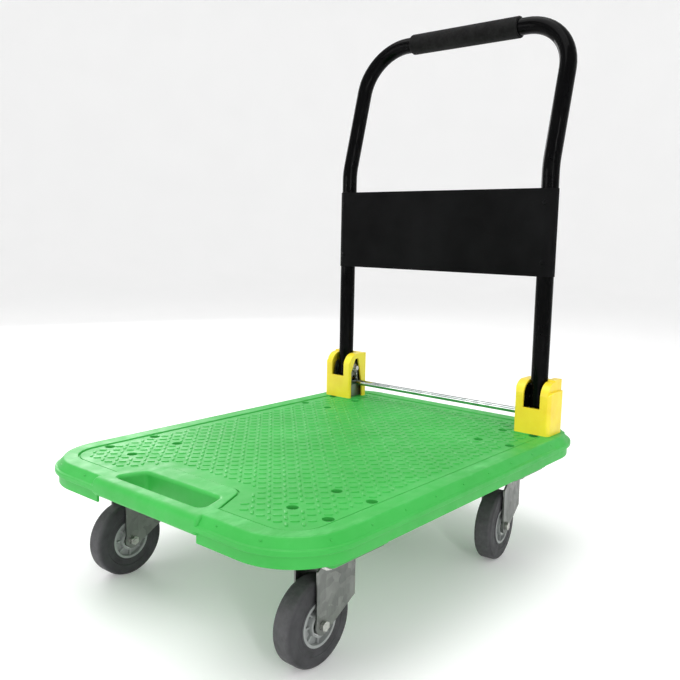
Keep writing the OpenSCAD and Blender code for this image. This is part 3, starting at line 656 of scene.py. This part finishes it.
def islandCorners(front, margin=0.0):
    h = handHole
    wide, narrow, rear = h["islandFront"] + margin, h["islandRear"] + margin, frontEdge + h["islandDepth"] + margin
    lean = (wide - narrow) / (rear - frontEdge - h["islandStart"])
    foot = narrow + lean * (rear - front)
    return [(-foot, front, 1 * mm), (foot, front, 1 * mm),
            (narrow, rear, h["islandRadius"]), (-narrow, rear, h["islandRadius"])]


def gripBar():
    bar, half, soft = handHole["bar"], handHole["width"] / 2 + handHole["barOverlap"], 6 * mm
    outline = filleted([(0, 0, 12 * mm), (0, -bar, 8 * mm), (bar, -bar, 6 * mm), (bar, 0, 5 * mm)], 15)
    middle = Vector((bar / 2, -bar / 2))
    rings = []
    for side in (-1, 1):
        for degrees in (90, 60, 30, 0)[::-side]:
            angle = math.radians(degrees)
            x = side * (half + soft * math.sin(angle))
            shrink = 1 - 2 * soft * (1 - math.cos(angle)) / bar
            ring = [middle + (p - middle) * shrink for p in outline]
            rings.append([Vector((x, frontEdge + p.x, lipTop + p.y)) for p in ring])
    return loft("grip", rings)


def handHoleTool():
    corners, soft = holeCorners(), 6 * mm
    levels = [(lipTop + 2 * mm, soft)]
    levels += [(lipTop - soft * (1 - math.cos(math.radians(a))), soft * (1 - math.sin(math.radians(a))))
               for a in (0, 18, 36, 54, 72, 90)]
    levels += [(lipTop - 80 * mm, 0)]
    return loft("handHole", [[Vector((*p, z)) for p in grown(corners, g)] for z, g in levels])


def underside(body):
    lowZ = lipTop - deckShape["skirtHeight"] + ribShape["skirtGap"]
    inset = deckShape["skirtInset"] + deckShape["wall"] / 2
    thick, top = ribShape["thick"] / 2, plateLow + 1 * mm
    size = deckBox[1] - deckBox[0]
    across, along = round(size.x / ribShape["pitch"]), round(size.y / ribShape["pitch"])
    lines = [deckBox[0].x + size.x * i / across for i in range(1, across)]
    rows = [deckBox[0].y + size.y * i / along for i in range(1, along)]
    ribs = joined("ribs", [cuboid("rib", (x - thick, deckBox[0].y, lowZ), (x + thick, deckBox[1].y, top))
                           for x in lines])
    carve(ribs, joined("rows", [cuboid("rib", (deckBox[0].x, y - thick, lowZ), (deckBox[1].x, y + thick, top))
                                for y in rows]), "UNION")
    inside = cornersRound(*deckBox, -inset, deckShape["cornerRadius"] - inset)
    carve(ribs, block("inside", inside, lowZ - 1 * mm, top + 1 * mm), "INTERSECT")
    carve(body, ribs, "UNION")
    plates = [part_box(n) for n in ("front_fork_left", "front_fork_right", "swivel_plate_left", "swivel_plate_right")]
    padLow, margin, wall = deckBox[0].z, ribShape["padMargin"], deckShape["wall"]
    outer, inner, ribsX, ribsY = [], [], [], []
    for low, high in plates:
        outer.append(block("pad", cornersRound(low, high, margin, 6 * mm), padLow, top, 0.8 * mm))
        hollow = cornersRound(low, high, margin - wall, 3 * mm)
        inner.append(block("hollow", hollow, padLow - 5 * mm, top - 0.5 * mm))
        near = [s for s in boltSpots if low.x < s.x < high.x and low.y < s.y < high.y]
        for x in sorted({round(s.x, 4) for s in near}):
            ribsX.append(cuboid("line", (x - thick, low.y - margin / 2, padLow + 1 * mm),
                                (x + thick, high.y + margin / 2, top)))
        for y in sorted({round(s.y, 4) for s in near}):
            ribsY.append(cuboid("line", (low.x - margin / 2, y - thick, padLow + 1 * mm),
                                (high.x + margin / 2, y + thick, top)))
    pads = joined("pads", outer)
    carve(pads, joined("hollows", inner), "DIFFERENCE")
    carve(pads, joined("linesX", ribsX), "UNION")
    carve(pads, joined("linesY", ribsY), "UNION")
    bosses = [solidLathe("boss", [(recess["boss"], padLow), (recess["boss"], top)], s) for s in boltSpots]
    carve(pads, joined("bosses", bosses), "UNION")
    carve(body, pads, "UNION")


# Turns a profile about an upright axis through spot; welding closes the pin-sized hole on the axis
def solidLathe(name, profile, spot):
    line = [(pin, profile[0][1]), *profile, (pin, profile[-1][1])]
    piece = lathe(name, line, (spot.x, spot.y, 0), steps=boltSides)
    bm = bmesh.new()
    bm.from_mesh(piece.data)
    bmesh.ops.remove_doubles(bm, verts=bm.verts, dist=2.1 * pin)
    bmesh.ops.recalc_face_normals(bm, faces=bm.faces)
    bm.to_mesh(piece.data)
    bm.free()
    return piece


def recessTool(spot):
    r, soft, low = recess["radius"], recess["soft"], fieldTop - recess["depth"]
    profile = [(recess["hole"], deckBox[0].z - 5 * mm), (recess["hole"], low), (r, low)]
    profile += [(r + soft * (1 - math.cos(math.radians(a))), fieldTop - soft * (1 - math.sin(math.radians(a))))
                for a in (0, 30, 60, 90)]
    profile += [(r + soft, lipTop + 3 * mm)]
    return solidLathe("recess", profile, spot)


def makeDeck(finish):
    deck = railAndPlate()
    underside(deck)
    h = handHole
    half = h["width"] / 2 + h["barOverlap"]
    gap = cuboid("gap", (-half, frontEdge - 5 * mm, deckBox[0].z - 5 * mm),
                 (half, frontEdge + h["bar"] + 1 * mm, lipTop - h["barHeight"]))
    carve(deck, gap, "DIFFERENCE")
    carve(deck, gripBar(), "UNION")
    moat = block("moat", islandCorners(frontEdge + h["moatStart"], h["moatWidth"]),
                 fieldTop - deckShape["grooveDepth"], lipTop + 5 * mm)
    carve(deck, moat, "DIFFERENCE")
    island = block("island", islandCorners(frontEdge + h["islandStart"]), plateLow + 1 * mm, lipTop, 0, 1.2 * mm)
    carve(deck, island, "UNION")
    wallLow = lipTop - deckShape["skirtHeight"] + ribShape["skirtGap"]
    wallRing = grown(holeCorners(), deckShape["wall"])
    carve(deck, loft("walls", [[Vector((*p, z)) for p in wallRing] for z in (wallLow, lipTop - 3 * mm)]), "UNION")
    carve(deck, handHoleTool(), "DIFFERENCE")
    m = hingeMount
    covers = [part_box(n) for n in ("hinge_cover_left", "hinge_cover_right")]
    pads = [block("pad", cornersRound(low, high, m["margin"], m["radius"]), plateLow + 1 * mm, lipTop, 0, m["edge"])
            for low, high in covers]
    carve(deck, joined("hingePads", pads), "UNION")
    bossLow = lipTop - m["depth"]
    for spot in hingeBolts:
        carve(deck, solidLathe("boss", [(m["boss"], bossLow), (m["boss"], lipTop - 2 * mm)], spot), "UNION")
    for spot in hingeBolts:
        profile = [(m["boss"], deckBox[0].z), (m["boss"], bossLow), (recess["hole"], bossLow),
                   (recess["hole"], lipTop + 2 * mm)]
        carve(deck, solidLathe("drill", profile, spot), "DIFFERENCE")
    carve(deck, joined("recesses", [recessTool(s) for s in boltSpots]), "DIFFERENCE")
    dress(deck, finish)
    smoothed(deck, 38)
    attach(deck, "chassis")
    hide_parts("deck")
    print("deck", len(deck.data.polygons), "faces")


# Raised dashes of the tread, laid crosswise in turn
tread = {"pitch": 15.8 * mm, "length": 12.5 * mm, "width": 4.4 * mm, "height": 1.15 * mm, "margin": 17 * mm,
         "islandMargin": 22 * mm, "padMargin": 12 * mm, "recessMargin": 14 * mm}


def dashPart():
    length, width, height = tread["length"] / 2, tread["width"] / 2, tread["height"]
    rings = []
    for z, shrink in ((-0.6 * mm, 0), (height * 0.45, 0), (height * 0.85, 0.35 * mm), (height, 0.9 * mm)):
        ring = []
        for side, start in ((1, -90), (-1, 90)):
            for k in range(4):
                angle = math.radians(start + 60 * k)
                reach = width - shrink
                ring.append(Vector((side * (length - width) + reach * math.cos(angle), reach * math.sin(angle), z)))
        rings.append(ring)
    dash = loft("dash", rings)
    dash.data.shade_smooth()
    dash.data.set_sharp_from_angle(angle=math.radians(50))
    return dash


def inOutline(point, corners, margin):
    sides = list(zip(corners, corners[1:] + corners[:1]))
    return all((b[0] - a[0]) * (point[1] - a[1]) - (b[1] - a[1]) * (point[0] - a[0])
               > -margin * math.hypot(b[0] - a[0], b[1] - a[1]) for a, b in sides)


def treadSpots():
    field = deckShape["fieldInset"] + tread["margin"]
    reachX, reachY = deckBox[1].x - field, deckBox[1].y - field
    radius = deckShape["fieldRadius"] + deckShape["fieldInset"] - field
    covers = [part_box("hinge_cover_left"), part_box("hinge_cover_right")]
    island = islandCorners(frontEdge)
    spots, turns = [], []
    countX, countY = int(reachX / tread["pitch"]), int(reachY / tread["pitch"])
    for i in range(-countX, countX + 1):
        for j in range(-countY, countY + 1):
            x, y = i * tread["pitch"], j * tread["pitch"]
            outX, outY = max(0, abs(x) - reachX + radius), max(0, abs(y) - reachY + radius)
            if math.hypot(outX, outY) > radius:
                continue
            if any(low.x - tread["padMargin"] < x < high.x + tread["padMargin"]
                   and low.y - tread["padMargin"] < y < high.y + tread["padMargin"] for low, high in covers):
                continue
            if any(math.hypot(x - s.x, y - s.y) < tread["recessMargin"] for s in boltSpots):
                continue
            if inOutline((x, y), island, tread["islandMargin"]):
                continue
            spots.append((x, y, fieldTop))
            turns.append(math.radians(45 if (i + j) % 2 else -45))
    return spots, turns


def makeTread(finish):
    dash = dashPart()
    spots, turns = treadSpots()
    tree = scatterTree("treadPattern", finish)
    points = pointMesh("treadSpots", spots, {"turn": turns})
    pattern = grow("tread_dashes", points, tree, {"Part": dash, "Size": 1.0})
    bpy.data.objects.remove(dash)
    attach(pattern, "chassis")
    print("tread", len(spots), "dashes,", len(pattern.data.polygons), "faces")


# ---- Wheels

tyre = {"halfWidth": 15.5 * mm, "edge": 6.5 * mm, "stepInner": 3.2 * mm, "stepOuter": 11.5 * mm,
        "stepDepth": 0.9 * mm, "seam": 1.2 * mm, "dustDepth": 3.0 * mm, "dustFade": 2.5 * mm}


def makeTyre(name, body, axis, finish):
    t = tyre
    low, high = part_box(name)
    hubLow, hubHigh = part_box(name.replace("tyre", "hub"))
    outer, bore, half = (high.z - low.z) / 2, (hubHigh.z - hubLow.z) / 2, t["halfWidth"]
    inset = half - t["stepDepth"]
    upper = [(bore, half, 0), (bore + t["stepInner"], half, 0.5 * mm),
             (bore + t["stepInner"] + 0.4 * mm, inset, 0.4 * mm), (bore + t["stepOuter"], inset, 0.5 * mm),
             (bore + t["stepOuter"] + 0.7 * mm, half, 0.5 * mm), (outer, half, t["edge"]),
             (outer - 0.1 * mm, t["seam"], 0.3 * mm), (outer, 0.5 * mm, 0)]
    profile = filleted(upper, 15, False)
    profile = profile + [Vector((p.x, -p.y)) for p in reversed(profile)]
    piece = lathe(name.replace("tyre", "tyre_rubber"), profile, (low + high) / 2, axis, 96)
    mask = piece.data.attributes.new("tread", "FLOAT", "POINT")
    around = len(profile)
    weights = [max(0.0, min(1.0, (p.x - outer + t["dustDepth"]) / t["dustFade"])) for p in profile]
    mask.data.foreach_set("value", [weights[i % around] for i in range(len(piece.data.vertices))])
    dress(piece, finish)
    smoothed(piece, 50)
    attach(piece, body)
    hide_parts(name)


# ---- Springs

# A smooth-shaded copy of the spring's coil, fixed to the chassis
def makeSpring(name, finish):
    bm = bmesh.new()
    bm.from_mesh(nodes[name].data)
    bmesh.ops.remove_doubles(bm, verts=bm.verts, dist=weldGap)
    piece = fromBmesh(name.replace("spring", "spring_coil"), bm)
    dress(piece, finish)
    smoothed(piece, 50)
    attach(piece, "chassis")
    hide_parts(name)
    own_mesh(piece)


# ---- Handle

handle = {"lean": 14.7, "leanRadius": 120 * mm, "cornerRadius": 98 * mm, "sides": 40, "bendSteps": 14}


def handleCorners():
    low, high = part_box("handle_tube")
    pivot = Vector(jointNamed("handle_fold")["pos_m"])
    bar = centreOf(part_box("grip_sleeve"))
    postX = (high.x - low.x) / 2 - tubeRadius()
    bendZ = bar.z - (bar.y - pivot.y) / math.tan(math.radians(handle["lean"]))
    side = [(postX, pivot.y, low.z), (postX, pivot.y, bendZ), (postX, bar.y, bar.z)]
    return [Vector(p) for p in side] + [Vector((-x, y, z)) for x, y, z in reversed(side)]


def tubeRadius():
    return jointNamed("handle_fold")["pos_m"][1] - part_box("handle_tube")[0].y


def makeHandle(finish):
    corners = handleCorners()
    mesh = bpy.data.meshes.new("handleLine")
    mesh.from_pydata([tuple(p) for p in corners], [(i, i + 1) for i in range(len(corners) - 1)], [])
    tree, start, end = startTree("bentTube", {
        "Radius": ("NodeSocketFloat", 0.016), "Lean radius": ("NodeSocketFloat", 0.12),
        "Corner radius": ("NodeSocketFloat", 0.1), "Sides": ("NodeSocketInt", 32), "Bend steps": ("NodeSocketInt", 12)})
    line = addNode(tree, "GeometryNodeMeshToCurve", {"Mesh": start.outputs["Geometry"]})
    index = addNode(tree, "GeometryNodeInputIndex")
    afterBend = compareInt(tree, index.outputs["Index"], "GREATER_THAN", 1)
    beforeBend = compareInt(tree, index.outputs["Index"], "LESS_THAN", 4)
    top = addNode(tree, "FunctionNodeBooleanMath", operation="AND")
    tree.links.new(afterBend.outputs["Result"], top.inputs[0])
    tree.links.new(beforeBend.outputs["Result"], top.inputs[1])
    radius = addNode(tree, "GeometryNodeSwitch", {"Switch": top.outputs[0]}, input_type="FLOAT")
    tree.links.new(start.outputs["Lean radius"], radius.inputs["False"])
    tree.links.new(start.outputs["Corner radius"], radius.inputs["True"])
    bent = addNode(tree, "GeometryNodeFilletCurve", {"Curve": line.outputs["Curve"], "Radius": radius.outputs[0],
                                                      "Count": start.outputs["Bend steps"]}, mode="POLY")
    ring = addNode(tree, "GeometryNodeCurvePrimitiveCircle", {
        "Resolution": start.outputs["Sides"], "Radius": start.outputs["Radius"]})
    tube = addNode(tree, "GeometryNodeCurveToMesh", {
        "Curve": bent.outputs["Curve"], "Profile Curve": ring.outputs["Curve"]}, {"Fill Caps": True})
    endTree(tree, end, tube.outputs["Mesh"], finish)
    piece = grow("handle_bent_tube", mesh, tree, {
        "Radius": tubeRadius(), "Lean radius": handle["leanRadius"], "Corner radius": handle["cornerRadius"],
        "Sides": handle["sides"], "Bend steps": handle["bendSteps"]})
    smoothed(piece, 50)
    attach(piece, "handle")
    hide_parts("handle_tube")
    print("handle tube", len(piece.data.polygons), "faces")


# The compare node has sockets of one name for each data type, so the whole-number pair is picked by type
def compareInt(tree, source, operation, value):
    node = addNode(tree, "FunctionNodeCompare", data_type="INT", operation=operation)
    first, second = [s for s in node.inputs if s.type == "INT"]
    tree.links.new(source, first)
    second.default_value = value
    return node


# ---- Stage

stageLook = {"floor": 9.0, "rise": 6.0, "curve": 3.0}


def makeStage():
    finish, tree, shader, where = startFinish("stagePaper", {"Specular IOR Level": 0.1})
    colour = tint(tree, grain(tree, where, 3, 3), [(0.3, (0.93, 0.93, 0.93)), (0.7, (0.95, 0.95, 0.95))])
    tree.links.new(colour, shader.inputs["Base Color"])
    shader.inputs["Roughness"].default_value = 0.9
    shader.inputs["Emission Color"].default_value = (1, 1, 1, 1)
    shader.inputs["Emission Strength"].default_value = 0.1
    profile = [(0.05, 0.0), (stageLook["floor"] - stageLook["curve"], 0.0)]
    profile += [(stageLook["floor"] - stageLook["curve"] * (1 - math.sin(math.radians(a))),
                 stageLook["curve"] * (1 - math.cos(math.radians(a)))) for a in range(10, 91, 10)]
    profile += [(stageLook["floor"], stageLook["rise"])]
    bm = bmesh.new()
    steps = 64
    columns = [[bm.verts.new((p[0] * math.cos(math.tau * i / steps), p[0] * math.sin(math.tau * i / steps), p[1]))
                for p in profile] for i in range(steps)]
    for near, far in zip(columns, columns[1:] + columns[:1]):
        for i in range(len(profile) - 1):
            bm.faces.new((near[i], far[i], far[i + 1], near[i + 1]))
    bm.faces.new([c[0] for c in columns])
    floor = fromBmesh("studio_floor", bm)
    floor.data.shade_smooth()
    dress(floor, finish)


lights = [
    {"name": "left", "place": (-3.2, 1.2, 1.3), "size": (1.6, 1.2), "power": 30},
    {"name": "top", "place": (-0.4, -0.4, 3.4), "size": (3.0, 3.0), "power": 70},
    {"name": "front", "place": (-1.6, -3.2, 0.8), "size": (1.8, 1.0), "power": 18},
    {"name": "right", "place": (2.6, -1.6, 1.4), "size": (0.05, 2.2), "power": 24},
]


def makeLights():
    for setting in lights:
        data = bpy.data.lights.new(setting["name"], "AREA")
        data.shape = "RECTANGLE"
        data.size, data.size_y = setting["size"]
        data.energy = setting["power"]
        lamp = bpy.data.objects.new(setting["name"], data)
        lamp.location = setting["place"]
        aim = Vector((0, 0, 0.35)) - lamp.location
        lamp.rotation_euler = aim.to_track_quat("-Z", "Y").to_euler()
        lamp.visible_camera = False
        bpy.context.scene.collection.objects.link(lamp)
    world = bpy.data.worlds.new("studio")
    world.use_nodes = True
    back = world.node_tree.nodes["Background"]
    back.inputs["Color"].default_value = (1, 1, 1, 1)
    back.inputs["Strength"].default_value = 0.7
    bpy.context.scene.world = world
    bpy.context.scene.view_settings.view_transform = "Standard"


# ---- Putting it together

setCamera()
makeStage()
makeLights()
print("camera, stage and lights set")

green = deckPlastic(fieldTop)
finishes = {
    "deck_plastic": green, "cover_plastic": coverPlastic(), "handle_enamel": handleEnamel(),
    "panel_enamel": panelEnamel(), "grip_foam": gripFoam(),
    "bar_chrome": platedSteel("barChrome", (0.36, 0.40, 0.385), (0.56, 0.60, 0.58), 0.06, 0.16, 40, (0.05, 1, 1)),
    "zinc_sheet": platedSteel("zincSheet", (0.15, 0.158, 0.15), (0.24, 0.25, 0.235), 0.34, 0.5, 90, (1, 1, 0.2)),
    "zinc_fasteners": platedSteel("zincFasteners", (0.36, 0.36, 0.34), (0.56, 0.56, 0.53), 0.24, 0.4, 300),
    "spring_wire": platedSteel("springWire", (0.30, 0.31, 0.31), (0.5, 0.51, 0.51), 0.2, 0.34, 400),
    "bearing_steel": platedSteel("bearingSteel", (0.45, 0.45, 0.45), (0.62, 0.62, 0.62), 0.14, 0.26, 300),
    "tyre_rubber": tyreRubber(), "hub_plastic": hubPlastic(),
}
for row in frame["record"]["subparts"]:
    dress(nodes[row["node"]], finishes[row["material_slot"]])
print("finishes made:", len(finishes))

makeDeck(green)
makeTread(green)
makeHandle(finishes["handle_enamel"])

wheelAxes = {j["child"]: Vector(j["axis"]) for j in frame["joints"] if j["child"].startswith("wheel_")}
for body, axis in wheelAxes.items():
    end, side = body.split("_")[1:]
    makeTyre(end + "_tyre_" + side, body, axis, finishes["tyre_rubber"])
print("tyres made")

for name in ("spring_left", "spring_right"):
    makeSpring(name, finishes["spring_wire"])
print("springs made")

soften(["hinge_cover_left", "hinge_cover_right"], 1.4 * mm, 3)
soften([n for n in nodes if "fork" in n], 0.8 * mm)
soften([n for n in nodes if n.startswith(("swivel_plate", "hinge_bracket", "cam_"))], 0.5 * mm)
soften([n for n in nodes if "_hub_" in n], 0.7 * mm)
soften([n for n in nodes if "bolt" in n or "nut" in n or n in ("kingpins", "cover_screws", "bar_clips")], 0.4 * mm)
smoothNode("back_panel", 30)
soften(["panel_rivets"], 0.4 * mm)
soften(["lock_bar", "grip_sleeve"], 0.8 * mm)
print("edges softened")
